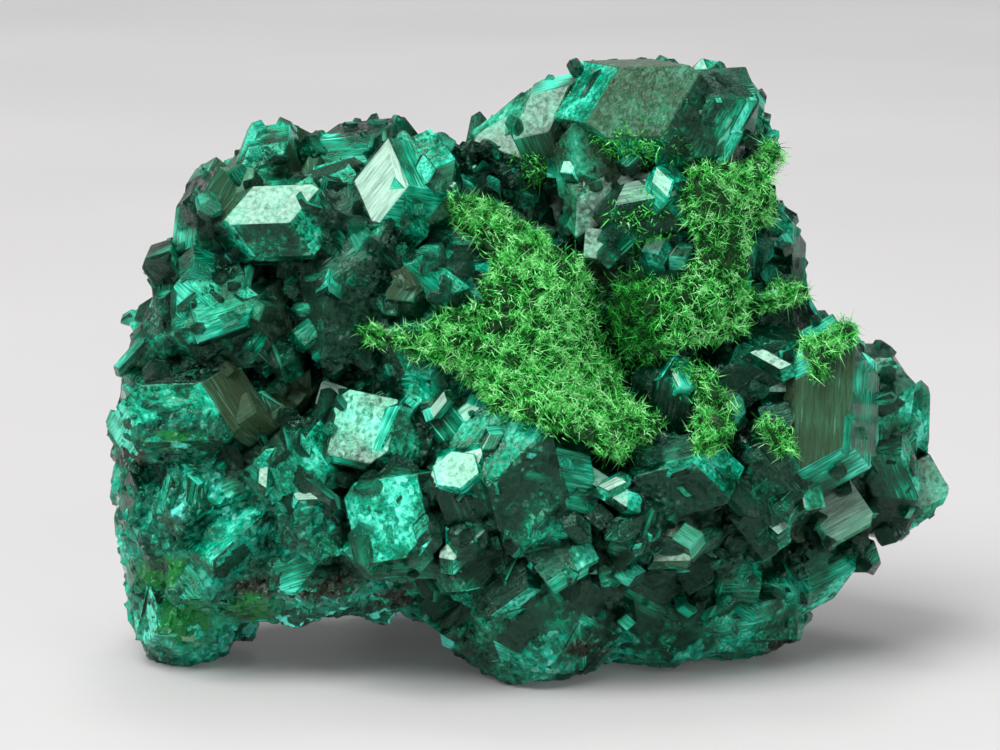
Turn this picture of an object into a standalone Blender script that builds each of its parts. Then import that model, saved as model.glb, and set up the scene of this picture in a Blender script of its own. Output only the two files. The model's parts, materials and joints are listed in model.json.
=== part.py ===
"""Dioptase cluster with fornacite mats, a natural mineral specimen of one intergrown crystal mass.

The cluster is a lumpy massive core, cut flat where it stands, with hexagonal dioptase crystals
grown out of it and fused to it. Each fornacite mat is a blanket of needles that lies on the
crystals, modelled as the solid that the needle tips reach. Units are metres, +Z is up, the front
faces -Y, and the origin is under the middle of the cluster's box.
"""

import math
import random
from itertools import product

import bmesh
import bpy
from mathutils import Matrix, Vector, noise
from mathutils.bvhtree import BVHTree
from mathutils.geometry import intersect_point_line

MM = 0.001

# The front elevation: a drawing plane through the origin's depth, seen from a fixed eye point.
# Places on it are millimetres across from the middle (x) and up from the lowest point (h).
VIEW_TILT = math.radians(10)  # the eye looks down this much
VIEW_DISTANCE = 400 * MM
VIEW_AXIS_X = -2.5 * MM  # where the line of sight crosses the elevation
VIEW_AXIS_H = 30.7 * MM
FRONT_TOE_Y = -19 * MM  # depth of the front foot, which is the elevation's h = 0

RIGHT = Vector((1, 0, 0))
UP = Vector((0, math.sin(VIEW_TILT), math.cos(VIEW_TILT)))
AWAY = Vector((0, math.cos(VIEW_TILT), -math.sin(VIEW_TILT)))
H_OF_ORIGIN = -FRONT_TOE_Y * math.sin(VIEW_TILT)

# Dioptase: a hexagonal prism closed at each end by three rhombohedral faces.
CAP_POLE = math.radians(51)  # angle between a cap face's normal and the long axis
PRISM_AZIMUTHS = range(30, 390, 60)
CAP_AZIMUTHS = range(0, 360, 120)
CRYSTAL_FACES = len(PRISM_AZIMUTHS) + 2 * len(CAP_AZIMUTHS)
OUTWARD_FACE = {"m": 0, "w": 5, "r": 6}  # index in the list of a crystal's faces
UNEVEN = (0.88, 1.12)  # spread of the faces' distances from the middle
PRISM_DEPTH = 0.72  # distance of a shown prism face from the middle, as a share of its width
SQUARE_TO_WIDTH = 1.2  # prism width over the side of a shown cap face
CAP_NEARER = 0.75
FACE_TO_SPACE = 1.5  # room a crystal takes, as a share of its face's width

# The massive core is a sum of lumps: x, z, y, then half-widths along x, z and y, all in mm.
CORE_LUMPS = [
    (-3, 18, 0, 34, 13, 20),
    (-33.4, 8, -1, 6.6, 10, 10.5),
    (-27, 10.6, -9, 6, 5.5, 6),
    (-33.5, 16, 0, 7, 10, 15),
    (-24, 13, 0, 9, 6.6, 14),
    (-21, 11, -10.5, 13, 5, 6),
    (-33, 26, 0, 7, 8, 14),
    (-30.5, 34, 1, 6.6, 8, 12),
    (-25, 41.5, 2, 8, 8, 12),
    (-13, 42, 3, 12, 8.2, 12),
    (-6, 31, 1, 17, 14, 17),
    (13, 38, 2, 10, 17, 14),
    (12, 51, 3, 9.6, 6.4, 10),
    (25, 22, 2, 12, 11.5, 14),
    (34.5, 20, 3, 5, 5.5, 8),
    (1, 8, -4.5, 10.5, 10, 14.5),
    (13, 9, 0, 13, 10.5, 14),
    (19.5, 8, 1, 10, 8.8, 12),
    (3, 7, 12, 21, 9, 8),
]
CORE_LUMP_FINENESS = 4
CORE_VOXEL = 1.3 * MM
CORE_ROUGHNESS = 1 * MM
CORE_LUMP_SIZE = 7 * MM
CORE_TRIANGLES = 600
CLUSTER_TRIANGLES = 8400  # after the crystals have grown together

# Crystals that make the front: x, h, the size of the face that looks out (across and along), which
# face it is (m or w is a prism face leaning right or left, r is a cap face), that face's turn to
# the right, its tilt up, the long axis's lean to the right, and how far the face stands out.
# A cap face is nearly square, so its second size is the crystal's length over its width instead.
SHINE = (-12, 34)  # turn and tilt of the faces that catch the light from above
CRYSTALS = {
    # crown
    "crown_plate": (11.8, 58.2, 7.2, 7.4, "w", 0, 28, 88, 6),
    "crown_end": (16.8, 59.4, 2.6, 5, "w", *SHINE, 32, 6),
    "crown_shoulder": (19.4, 58.6, 5, 1.3, "r", 30, 20, 10, 6.4),
    "crown_cheek": (19.4, 55.4, 4.6, 5.4, "m", 12, 2, 30, 6.6),
    "crown_drop": (22.2, 56.6, 3.8, 4.6, "w", 32, 6, 20, 4.4),
    "crown_corner": (23.6, 54.2, 3.6, 1.2, "r", 20, 24, 30, 3),
    "wing_plate": (0.8, 55.5, 5.4, 9.2, "m", -20, 40, 50, 6),
    "wing_keel": (-1.2, 52.6, 4.2, 8, "m", 0, -14, 52, 4.6),
    "wing_end": (4.4, 55.8, 3.6, 5, "w", 34, 0, 30, 5.4),
    "neck_bright": (3.8, 54.2, 3.4, 5, "m", -16, 22, 44, 4.6),
    "neck_teal": (7.4, 52.6, 4.2, 5, "w", 6, 10, -6, 4.4),
    "neck_pale": (3.6, 47.4, 4.2, 1.3, "r", -16, 22, 20, 3.6),
    "neck_block": (6.8, 47.2, 3.2, 3.6, "m", 4, 4, 4, 4.4),
    "neck_cap": (7.2, 49.8, 3, 1.2, "r", -6, 32, 40, 4),
    "neck_low": (7.6, 43.8, 3.4, 1.3, "r", -4, 30, 50, 4.4),
    "pit_pale": (11.2, 49.4, 3.4, 1.3, "r", -16, 26, 30, 3),
    "pit_dark": (12.4, 46.4, 3.6, 4.4, "m", 8, -12, 80, 3),
    "pit_star": (13.2, 43.2, 2.2, 1.8, "r", *SHINE, 30, 2.8),
    # right side
    "right_block": (24.3, 42, 4.8, 6.2, "m", 4, 2, 2, 3.6),
    "right_band": (24.6, 44.6, 4.4, 1.1, "r", 4, 62, 45, 3),
    "right_knee": (24.8, 34.4, 4.8, 5, "w", 8, -4, 24, 3),
    "right_lid": (21.2, 33.6, 4.4, 5, "m", -4, 28, 62, 3.4),
    "right_slab": (22.6, 30.2, 4.4, 7, "w", 0, -6, 58, 4),
    "right_pale": (27, 30.6, 3, 4, "m", -10, 18, 30, 3),
    "spark_wedge": (14.8, 30, 2, 3.2, "m", *SHINE, -28, 3.4),
    "spark_base": (14.6, 27.2, 3.6, 4.4, "w", 4, -12, 10, 3),
    "nook_cap": (25.2, 26.6, 3, 1.3, "r", -2, 30, 30, 3.2),
    "nook_round": (24.6, 22, 4.4, 1.4, "r", 2, 2, 20, 3.6),
    "grey_column": (29.8, 27.2, 5.4, 8.4, "m", -6, 8, 2, 4.6),
    "grey_flank": (33.6, 26.8, 4.2, 9, "m", 34, 6, 2, 4),
    "column_cap": (32.4, 32.8, 4, 1.3, "r", 10, 40, 30, 3.6),
    "shoulder_white": (35.8, 30.4, 3.4, 4, "w", 8, 22, -30, 3),
    "shoulder_dark": (36.8, 26.4, 4, 5, "m", 22, 0, 8, 3),
    "shoulder_knob": (39.2, 25.4, 2.8, 4.4, "w", 34, 8, 4, 2.6),
    "tip": (39.6, 19.8, 4.6, 1.4, "r", 10, 14, 20, 3),
    "tip_root": (36.2, 20.6, 4, 5, "w", 4, 2, -24, 3),
    "tip_under": (37.6, 16.4, 4, 5, "m", 16, -24, 50, 2.4),
    "sugar_face": (31.6, 17, 5, 1.4, "r", 2, 16, 14, 4),
    "dark_wall": (23.8, 17.6, 5.6, 7, "w", 0, -4, 20, 3.4),
    "rim_slab": (28.2, 11.4, 4.8, 7, "m", 12, 14, 66, 3),
    "rim_slab_end": (33.4, 13, 3.2, 1.3, "r", 24, 2, 30, 2.4),
    # middle
    "dark_box": (15.6, 19.2, 4.8, 6.4, "m", 4, 0, 76, 3.6),
    "box_top": (19.4, 21.6, 3, 1.2, "r", -6, 34, 30, 3),
    "grey_sugar": (14.6, 14, 4, 1.4, "r", -8, 26, 40, 3.6),
    "teal_corner": (10.8, 16.2, 3.2, 4.6, "w", -12, 20, 16, 3.4),
    "streak": (8.4, 19.6, 1.4, 4.6, "m", *SHINE, -58, 3.2),
    "middle_giant": (0.4, 19.4, 7, 7, "m", 6, -2, -14, 4.4),
    "giant_roof": (-0.4, 23.6, 4, 1.3, "r", -10, 36, 40, 3),
    "giant_side": (5.4, 20, 3.6, 6, "w", 34, 0, -14, 3.4),
    "mirror_hexagon": (-6.9, 21.4, 4, 3.2, "m", *SHINE, 14, 4.6),
    "mirror_stalk": (-7.6, 25.6, 2.4, 5, "w", -6, 20, -40, 3.6),
    "mirror_post": (-4.4, 17.4, 3, 5, "m", 18, 0, 4, 3),
    "crinkled": (-10.8, 26, 4.4, 5, "m", -10, 16, -40, 3.4),
    "bright_roof": (-16.4, 25.6, 6.4, 1.4, "r", -14, 26, 52, 4.4),
    "roof_side": (-12.2, 23.4, 4, 5, "w", 24, 4, 30, 3.4),
    "teal_giant": (-13.4, 16.4, 8, 1.3, "r", -4, 10, 34, 4.6),
    "giant_lip": (-13, 12, 4, 7.4, "m", -4, -18, 88, 3.4),
    "sliver": (-6.2, 14.2, 1.6, 4.6, "m", *SHINE, 40, 3.6),
    "sliver_bed": (-4.4, 12.4, 3.4, 4.4, "w", 8, 6, 40, 2.8),
    "stripe_stack": (-1.9, 9.4, 2.6, 4.6, "w", -6, 18, 52, 3),
    "low_teal": (3.2, 12.6, 5, 1.3, "r", -2, 24, 10, 3.4),
    "low_green": (1.6, 16.2, 3.4, 5, "m", 2, 14, 80, 3.2),
    "low_spark": (9, 12, 3.6, 1.3, "r", -8, 20, 30, 3.4),
    "low_ridge": (20.6, 11.6, 3, 4.4, "w", 0, 10, -30, 2.8),
    "low_bead": (17, 10.8, 3, 1.3, "r", 0, 14, 15, 2.8),
    # upper left
    "lobe_roof": (-29.6, 49.2, 5, 1.4, "r", -8, 38, 42, 4),
    "lobe_front": (-30.6, 44.6, 4.6, 5, "w", 8, -10, 6, 3.4),
    "lobe_left": (-33.2, 47.6, 3, 5, "m", -44, 8, 4, 3),
    "lens_top": (-25.4, 47.8, 4.6, 6.4, "w", -8, 48, 86, 6.4),
    "lens_side": (-21.4, 44.4, 4, 5, "m", 22, -4, 6, 4.2),
    "ridge_left": (-26.4, 52, 3.6, 4, "m", -14, 16, 20, 2.8),
    "ridge_pale": (-22, 52, 3.8, 1.3, "r", -8, 26, 20, 3.4),
    "ridge_back": (-24.4, 52.8, 3.4, 4.4, "w", 4, 26, 60, 2.2),
    "ridge_big": (-16.4, 52.4, 4.6, 7.4, "m", 2, 16, 84, 1.6),
    "ridge_saddle": (-10.4, 52, 3.4, 4.2, "w", 8, 18, 70, 2.4),
    "white_face": (-14.4, 50, 4.8, 5.4, "w", *SHINE, 30, 6.6),
    "white_step": (-13.4, 46.6, 3.2, 4.4, "m", -10, 2, -10, 3.8),
    "blue_pane": (-9.4, 48.6, 4.2, 5.4, "m", 14, 2, 8, 3.6),
    "saddle_knob": (-6, 52.8, 2.6, 1.2, "r", 4, 20, 20, 2.6),
    "dark_shard": (-18.6, 47.6, 3, 4.4, "m", 14, 4, 14, 3.4),
    "striated_chip": (-11.4, 40, 2.6, 4, "m", -8, 16, 36, 3.4),
    "cyan_blade": (-8.8, 40.6, 2, 5.4, "w", 6, 26, -50, 3.6),
    # left side
    "teal_roof": (-30.4, 38.6, 6, 1.4, "r", -12, 34, 20, 4.8),
    "teal_wall": (-33.2, 36.4, 4.6, 5.4, "w", -26, 2, 4, 4),
    "teal_belly": (-29.4, 33.6, 5, 7, "m", 2, -18, 82, 4),
    "striated_block": (-23.2, 36.4, 5, 8, "w", -24, 2, 2, 4),
    "green_pane": (-16.4, 37.4, 7.2, 9.4, "m", 20, -6, 0, 3),
    "edge_high": (-36, 40.2, 3.4, 1.3, "r", -22, 16, 30, 2.6),
    "edge_middle": (-38.2, 36, 3.4, 1.3, "r", -28, 12, 10, 2.8),
    "edge_low": (-37.4, 33, 3, 4, "m", -16, -8, 40, 2.8),
    "belt": (-34.8, 26.8, 5.4, 8.4, "m", -10, 12, 86, 3.4),
    "belt_top": (-33.2, 29.6, 3.6, 5, "w", -4, 44, 74, 3),
    "cube_grey": (-28, 26, 3.8, 4.6, "m", -8, 8, 2, 4.8),
    "cube_green": (-25, 26.6, 2.8, 3.2, "w", 0, 6, 4, 4),
    "cube_high": (-22.7, 29, 2.6, 3.2, "m", 4, 12, 0, 3.8),
    "white_curl": (-25.2, 31.2, 1.8, 3.2, "m", *SHINE, -36, 3.8),
    "grey_chip": (-19.4, 28.6, 2.6, 1.3, "r", -8, 22, 60, 3.2),
    "frame_block": (-23, 21, 4.6, 5, "m", 0, 2, 82, 3.6),
    "teal_lobe": (-30.4, 20.6, 5, 1.4, "r", -10, 12, 20, 3.6),
    "bright_bud": (-34.4, 18.8, 3, 4.6, "w", -14, 16, 6, 3.2),
    "curved_bud": (-20.4, 15.4, 3.4, 4, "m", 6, 12, -60, 3),
}

# The cluster's outline on the front elevation, clockwise from the left end of the crown.
FRONT_OUTLINE = [
    (-5, 51.9), (-2.5, 55.4), (0, 58.4), (1.5, 59.6), (3.5, 59.9), (5.2, 58.6), (7, 61.2),
    (9.2, 62.2), (17.5, 62.3), (20, 61), (22, 59), (24, 56.4), (25.4, 55.2), (25.4, 50.2),
    (24.8, 45.7), (26.5, 45.7), (27.8, 44.7), (27.5, 39.2), (28.7, 35), (32.5, 35.5), (36, 32),
    (38, 30.7), (40.2, 26), (39.7, 22.6), (42.3, 20.9), (41.8, 17.9), (37.5, 14.2), (34, 11.2),
    (31.5, 9.4), (29.2, 7.2), (28, 5), (25.7, 2.4), (20.5, 1.2), (14.3, 2), (10, 2.2), (7.5, 1.4),
    (3.5, 0.3), (0.5, 0), (-2.5, 0.7), (-4.5, 2.2), (-7.5, 3.4), (-8.5, 4.9), (-12.2, 6.2),
    (-17.5, 6.7), (-21.5, 6.5), (-28.5, 4.2), (-31, 2.7), (-36, 1.4), (-37.5, 2), (-39.2, 6.2),
    (-41.2, 13.2), (-42.2, 16.7), (-41.3, 20.2), (-41.4, 25.2), (-39.5, 29.9), (-38.6, 31.2),
    (-40, 34.4), (-38.4, 39.9), (-37.5, 41.7), (-35.3, 43.5), (-35.8, 46), (-34.3, 50.4),
    (-32.2, 51.9), (-28.2, 53.2), (-24, 55.3), (-18.5, 56.2), (-14.5, 55.5), (-12.2, 53.9),
    (-7.3, 52.8),
]

OUTLINE_MARGIN = 0.7 * MM  # how far a filling piece may pass the outline

# Smaller crystals that fill the gaps and cover the sides, the top and the back.
FILL_SEED = 7
FILL_TRIES = 2600
FILL_COUNT = 52
FILL_WIDTHS = (3.4 * MM, 7 * MM)
FILL_LOWEST_Z = 9 * MM
FILL_SPACING = 0.62  # of the two widths' sum
FILL_LENGTHS = (1.1, 1.7)  # from tip to tip, as shares of the width
FILL_UNEVEN = (0.85, 1.15)
FILL_LEAN = 0.45  # spread of the leans away from the core's normal
FILL_CAPS = 0.7  # share that shows a cap face
FILL_PROUD = (0.2, 0.42)  # how far the face stands out, as shares of the width

# Broken blocks of massive dioptase and matrix: the low front, the sides' feet and the back.
BLOCK_SEED = 11
BLOCK_TRIES = 900
BLOCK_COUNT = 56
BLOCK_RADII = (4 * MM, 7 * MM)
BLOCK_SKEW = 0.3  # how far a block's faces turn from a cube's faces and corners
BLOCK_LOWEST_Z = 3 * MM
BLOCK_TOP_Z = 17 * MM  # on the front and sides, blocks stay under this
BLOCK_BACK_Y = 6 * MM  # behind this, blocks go up to the top
BLOCK_SPACING = 0.62
BLOCK_NORMALS = [  # a cube's faces and corners
    Vector(way).normalized() for way in product((1, 0, -1), repeat=3) if Vector(way).length_squared in (1, 3)
]
BLOCK_CUTS = (0.78, 1)  # spread of the faces' distances from the middle, as shares of the radius
BLOCK_SINK = 0.85  # depth of a block's middle under the surface, as a share of its radius

# Fornacite mats: the outline on the front elevation in mm, and the blanket's greatest thickness.
MATS = {
    "fornacite_main_mat": (
        [(-16.6, 35.4), (-13.4, 35.4), (-11, 35.4), (-10, 36.4), (-6.4, 37.2), (-4.4, 39.6), (-4, 42.4),
         (-6.6, 44.6), (-7.9, 46.8), (-7.8, 49.2), (-4.6, 48.8), (-1.6, 47.4), (0.6, 45.4), (3.4, 44.2),
         (6.4, 42), (7.6, 37.4), (7.8, 33), (9.6, 30), (12, 27.6), (14.2, 26), (13.4, 24.4), (11, 23.8),
         (9.4, 21.8), (7.6, 21.9), (5.6, 23.8), (1.4, 25.2), (-3.2, 26.8), (-5.2, 29.4), (-9.6, 31.8),
         (-13, 33), (-16, 34)],
        3.4,
    ),
    "fornacite_column_mat": (
        [(16.6, 52.4), (19.2, 52), (22, 51.6), (25, 53.2), (25.2, 50), (24.9, 46), (22.4, 45), (22, 40.8),
         (22.4, 38.2), (23.2, 36), (21.6, 34), (18.6, 33.4), (15.4, 33.2), (12.2, 31.4), (10.2, 32.2),
         (8.4, 36), (8.6, 40), (11.2, 41.2), (15.8, 40.4), (16.6, 44), (15.4, 48)],
        2.4,
    ),
    "fornacite_strip": (
        [(16.4, 31.8), (18, 31.8), (19.4, 29.6), (20.6, 27.6), (20.8, 24.6), (19, 22.4), (17.2, 22.8),
         (16.8, 25.6), (17, 28.6)],
        2,
    ),
    "fornacite_tuft": (
        [(27.6, 34.6), (30.4, 34.8), (32.6, 35.4), (31.6, 33), (30.6, 30.4), (28.6, 30), (27.4, 32)],
        2,
    ),
    "fornacite_sprig": (
        [(22.8, 26.8), (25.8, 26.8), (27.2, 24.6), (27.6, 22.2), (25.4, 22.4), (23.4, 24)],
        1.4,
    ),
    "fornacite_fringe": (
        [(22.6, 38.4), (25, 39.4), (27.8, 39.4), (27.6, 38), (25.2, 37.4), (23.2, 36.8)],
        1.4,
    ),
}
MAT_CELL = 1.5 * MM
MAT_LEAST_CELLS = 4  # across the narrow way of a mat's box
MAT_GAP = 0.45 * MM  # between a mat and the crystals under it
MAT_LEAST = 0.8 * MM  # thickness at the rim
MAT_RISE = 4 * MM  # distance from the rim at which a mat has its full thickness
MAT_FEEL = 0.6 * MAT_CELL  # each place rests on the nearest crystal within this much to each side
MAT_SMOOTH_PASSES = 3
MAT_WAVE = 0.5 * MM
MAT_WAVE_SIZE = 3 * MM
MAT_STEEPEST = 1.3  # a mat's back falls away from the front at most this much per unit across
MAT_STEEP_PASSES = 8

DIOPTASE = ("dioptase", (0.012, 0.2, 0.12), 0.18)
FORNACITE = ("fornacite", (0.1, 0.42, 0.06), 0.7)


def clear_scene():
    for obj in list(bpy.data.objects):
        bpy.data.objects.remove(obj)


def new_collection(name, hidden=False):
    collection = bpy.data.collections.new(name)
    collection.hide_render = hidden
    bpy.context.scene.collection.children.link(collection)
    return collection


def new_object(name, bm, collection):
    mesh = bpy.data.meshes.new(name)
    bm.to_mesh(mesh)
    bm.free()
    obj = bpy.data.objects.new(name, mesh)
    collection.objects.link(obj)
    return obj


def new_material(name, colour, roughness):
    material = bpy.data.materials.new(name)
    material.use_nodes = True
    shader = material.node_tree.nodes["Principled BSDF"]
    shader.inputs["Base Color"].default_value = (*colour, 1)
    shader.inputs["Roughness"].default_value = roughness
    shader.inputs["Metallic"].default_value = 0
    return material


def applied(obj, name, collection):
    """A new object that holds obj's evaluated mesh. obj is removed."""
    graph = bpy.context.evaluated_depsgraph_get()
    mesh = bpy.data.meshes.new_from_object(obj.evaluated_get(graph))
    bpy.data.objects.remove(obj)
    made = bpy.data.objects.new(name, mesh)
    collection.objects.link(made)
    return made


# ---- front elevation ----


def eye_point():
    on_axis = RIGHT * VIEW_AXIS_X + UP * (VIEW_AXIS_H - H_OF_ORIGIN)
    return on_axis - AWAY * VIEW_DISTANCE


def sight_line(x, h):
    """Unit direction from the eye through a place on the elevation."""
    on_plane = RIGHT * x + UP * (h - H_OF_ORIGIN)
    return (on_plane - eye_point()).normalized()


def elevation(point):
    """Place of a point on the front elevation."""
    line = point - eye_point()
    line *= VIEW_DISTANCE / line.dot(AWAY)
    on_plane = eye_point() + line
    return on_plane.dot(RIGHT), on_plane.dot(UP) + H_OF_ORIGIN


def inside(outline, x, h):
    """True if the place lies in the outline, by counting the sides to its right."""
    crossings = 0
    for (x0, h0), (x1, h1) in zip(outline, outline[1:] + outline[:1]):
        if (h0 > h) != (h1 > h) and x < x0 + (h - h0) * (x1 - x0) / (h1 - h0):
            crossings += 1
    return crossings % 2 == 1


def nearest_on(outline, x, h):
    """(distance, x, h) of the outline's nearest point."""
    here = Vector((x, h, 0))
    best = None
    for start, end in zip(outline, outline[1:] + outline[:1]):
        a, b = Vector((*start, 0)), Vector((*end, 0))
        point, share = intersect_point_line(here, a, b)
        point = a if share < 0 else b if share > 1 else point
        distance = (point - here).length
        if best is None or distance < best[0]:
            best = (distance, point.x, point.y)
    return best


def within_front(bm):
    """True if no corner passes the front outline by more than the margin."""
    for vert in bm.verts:
        x, h = elevation(vert.co)
        if not inside(FRONT_OUTLINE, x / MM, h / MM):
            if nearest_on(FRONT_OUTLINE, x / MM, h / MM)[0] * MM > OUTLINE_MARGIN:
                return False
    return True


def facing(turn, tilt):
    """Unit direction that points at the front, turned to the right and tilted up, in degrees."""
    a, b = math.radians(turn), math.radians(tilt)
    return Vector((math.sin(a) * math.cos(b), -math.cos(a) * math.cos(b), math.sin(b)))


# ---- massive core ----


def coarser(obj, triangles, collection):
    """The object with its edges collapsed down to this many triangles."""
    now = sum(len(face.vertices) - 2 for face in obj.data.polygons)
    coarse = obj.modifiers.new("coarse", "DECIMATE")
    coarse.ratio = min(triangles / now, 1)
    return applied(obj, obj.name, collection)


def make_core(helpers):
    """The lumps merged into one rough closed body."""
    bm = bmesh.new()
    for x, z, y, half_x, half_z, half_y in CORE_LUMPS:
        place = Matrix.Translation(Vector((x, y, z)) * MM)
        stretch = Matrix.Diagonal((half_x * MM, half_y * MM, half_z * MM, 1))
        bmesh.ops.create_icosphere(bm, subdivisions=CORE_LUMP_FINENESS, radius=1, matrix=place @ stretch)
    lumps = new_object("core_lumps", bm, helpers)

    remesh = lumps.modifiers.new("merge", "REMESH")
    remesh.mode = "VOXEL"
    remesh.voxel_size = CORE_VOXEL
    clouds = bpy.data.textures.new("lumpiness", "CLOUDS")
    clouds.noise_scale = CORE_LUMP_SIZE
    rough = lumps.modifiers.new("rough", "DISPLACE")
    rough.texture = clouds
    rough.texture_coords = "LOCAL"
    rough.strength = 2 * CORE_ROUGHNESS
    core = applied(lumps, "core", helpers)

    return coarser(core, CORE_TRIANGLES, helpers)


def cut_flat(mesh):
    """Cuts off what is below z = 0 and closes each cut."""
    bm = bmesh.new()
    bm.from_mesh(mesh)
    everything = bm.verts[:] + bm.edges[:] + bm.faces[:]
    bmesh.ops.bisect_plane(bm, geom=everything, plane_co=(0, 0, 0), plane_no=(0, 0, -1), clear_outer=True)
    bmesh.ops.holes_fill(bm, edges=[edge for edge in bm.edges if edge.is_boundary])
    bmesh.ops.recalc_face_normals(bm, faces=bm.faces[:])
    bm.to_mesh(mesh)
    bm.free()


def keep_largest(mesh):
    """Drops the crumbs that don't touch the main body."""
    bm = bmesh.new()
    bm.from_mesh(mesh)
    left = set(bm.verts)
    bodies = []
    while left:
        body = set()
        edge_of_body = [left.pop()]
        while edge_of_body:
            vert = edge_of_body.pop()
            body.add(vert)
            reached = {edge.other_vert(vert) for edge in vert.link_edges} & left
            left -= reached
            edge_of_body.extend(reached)
        bodies.append(body)
    bodies.sort(key=len)
    crumbs = [vert for body in bodies[:-1] for vert in body]
    bmesh.ops.delete(bm, geom=crumbs, context="VERTS")
    bm.to_mesh(mesh)
    bm.free()


# ---- crystals ----


def crystal_planes(prism, length, shares):
    """(normal, distance) of the six prism faces, at the distances in prism, and the caps' six.

    length is from tip to tip. shares varies the distances.
    """
    planes = []
    for azimuth, distance in zip(PRISM_AZIMUTHS, prism):
        a = math.radians(azimuth)
        planes.append((Vector((math.cos(a), math.sin(a), 0)), distance))
    cap_distance = length / 2 * math.cos(CAP_POLE)
    for end in (1, -1):
        for azimuth in CAP_AZIMUTHS:
            a = math.radians(azimuth)
            out = Vector((math.cos(a), math.sin(a), 0)) * math.sin(CAP_POLE)
            planes.append((end * (out + Vector((0, 0, math.cos(CAP_POLE)))), cap_distance))
    return [(normal, distance * share) for (normal, distance), share in zip(planes, shares)]


def shown_crystal(across, along, face, chance):
    """(planes, index of the face that looks out) for a crystal with that face's size."""
    shares = [chance.uniform(*UNEVEN) for _ in range(CRYSTAL_FACES)]
    index = OUTWARD_FACE[face]
    if face == "r":
        width = across * SQUARE_TO_WIDTH
        shares[index] = CAP_NEARER
        return crystal_planes([width / 2] * 6, width * along, shares), index
    outward = across * PRISM_DEPTH
    neighbour = across / 2 * math.sin(math.radians(60)) + outward * math.cos(math.radians(60))
    prism = [neighbour] * 6
    prism[index] = outward
    for near in (index, (index + 1) % 6, index - 1):
        shares[near % 6] = 1
    length = along * MM + 2 * outward * math.cos(math.radians(30)) * math.tan(CAP_POLE)
    return crystal_planes(prism, length, shares), index


def cut_crystal(planes):
    """A block cut down to the crystal by its faces' planes, about the origin, as a BMesh."""
    block = 8 * max(distance for _, distance in planes)
    bm = bmesh.new()
    bmesh.ops.create_cube(bm, size=block)
    for normal, distance in planes:
        everything = bm.verts[:] + bm.edges[:] + bm.faces[:]
        cut = bmesh.ops.bisect_plane(
            bm, geom=everything, plane_co=normal * distance, plane_no=normal, clear_outer=True
        )
        rim = [item for item in cut["geom_cut"] if isinstance(item, bmesh.types.BMEdge)]
        if rim:
            bmesh.ops.contextual_create(bm, geom=rim)
    bmesh.ops.recalc_face_normals(bm, faces=bm.faces[:])
    return bm


def face_centre(bm, normal):
    """Centre of the face that has this outward normal."""
    bm.normal_update()
    return max(bm.faces, key=lambda face: face.normal.dot(normal)).calc_center_median_weighted()


def turned_to(local_normal, outward, lean):
    """Rotation that points local_normal outward, with the long axis leaning from upright."""
    up = (Vector((0, 0, 1)) - outward * outward.z).normalized()
    side = outward.cross(up)
    axis = Vector((0, 0, 1))
    local_up = (axis - local_normal * axis.dot(local_normal)).normalized()
    local_side = local_normal.cross(local_up)
    world = Matrix((side, outward, up)).transposed()
    local = Matrix((local_side, local_normal, local_up)).transposed()
    return Matrix.Rotation(lean, 3, outward) @ world @ local.transposed()


def seated_crystal(planes, local_normal, rotation, seat):
    """The crystal with the centre of its outward face at seat, as a BMesh."""
    bm = cut_crystal(planes)
    centre = face_centre(bm, local_normal)
    place = Matrix.Translation(seat) @ rotation.to_4x4() @ Matrix.Translation(-centre)
    bmesh.ops.transform(bm, matrix=place, verts=bm.verts[:])
    return bm


def named_crystals(core_tree, collection):
    """The crystals of CRYSTALS, each seated on the core along its sight line."""
    seated = []
    for name, row in CRYSTALS.items():
        x, h, across, along, face, turn, tilt, lean, proud = row
        planes, index = shown_crystal(across * MM, along, face, random.Random(name))
        line = sight_line(x * MM, h * MM)
        hit = core_tree.ray_cast(eye_point(), line)[0]
        if hit is None:
            hit = core_tree.find_nearest(eye_point() + line * VIEW_DISTANCE)[0]
            hit = eye_point() + line * (hit - eye_point()).dot(line)
        seat = hit - line * proud * MM
        local_normal = planes[index][0]
        rotation = turned_to(local_normal, facing(turn, tilt), math.radians(-lean))
        new_object(name, seated_crystal(planes, local_normal, rotation, seat), collection)
        seated.append((seat, across * MM * FACE_TO_SPACE))
    return seated


def fill_crystals(core, seated, collection):
    """Smaller crystals wherever the named ones leave room, leaning about the core's normal."""
    chance = random.Random(FILL_SEED)
    faces = [face for face in core.data.polygons if face.center.z > FILL_LOWEST_Z]
    areas = [face.area for face in faces]
    count = 0
    for _ in range(FILL_TRIES):
        face = chance.choices(faces, areas)[0]
        corners = [core.data.vertices[index].co for index in face.vertices]
        weights = [chance.random() for _ in corners]
        spot = sum((c * w for c, w in zip(corners, weights)), Vector()) / sum(weights)
        width = chance.uniform(*FILL_WIDTHS)
        if any((spot - other).length < FILL_SPACING * (width + wide) for other, wide in seated):
            continue
        length = width * chance.uniform(*FILL_LENGTHS)
        shares = [chance.uniform(*FILL_UNEVEN) for _ in range(CRYSTAL_FACES)]
        lean = Vector([chance.gauss(0, FILL_LEAN) for _ in range(3)])
        outward = (face.normal + lean).normalized()
        cap = chance.random() < FILL_CAPS
        planes = crystal_planes([width / 2] * 6, length, shares)
        local_normal = planes[OUTWARD_FACE["r" if cap else "m"]][0]
        rotation = turned_to(local_normal, outward, chance.uniform(-math.pi, math.pi))
        seat = spot + outward * width * chance.uniform(*FILL_PROUD)
        bm = seated_crystal(planes, local_normal, rotation, seat)
        if not within_front(bm):
            bm.free()
            continue
        new_object(f"fill_{count:02d}", bm, collection)
        seated.append((spot, width))
        count += 1
        if count == FILL_COUNT:
            break


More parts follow.
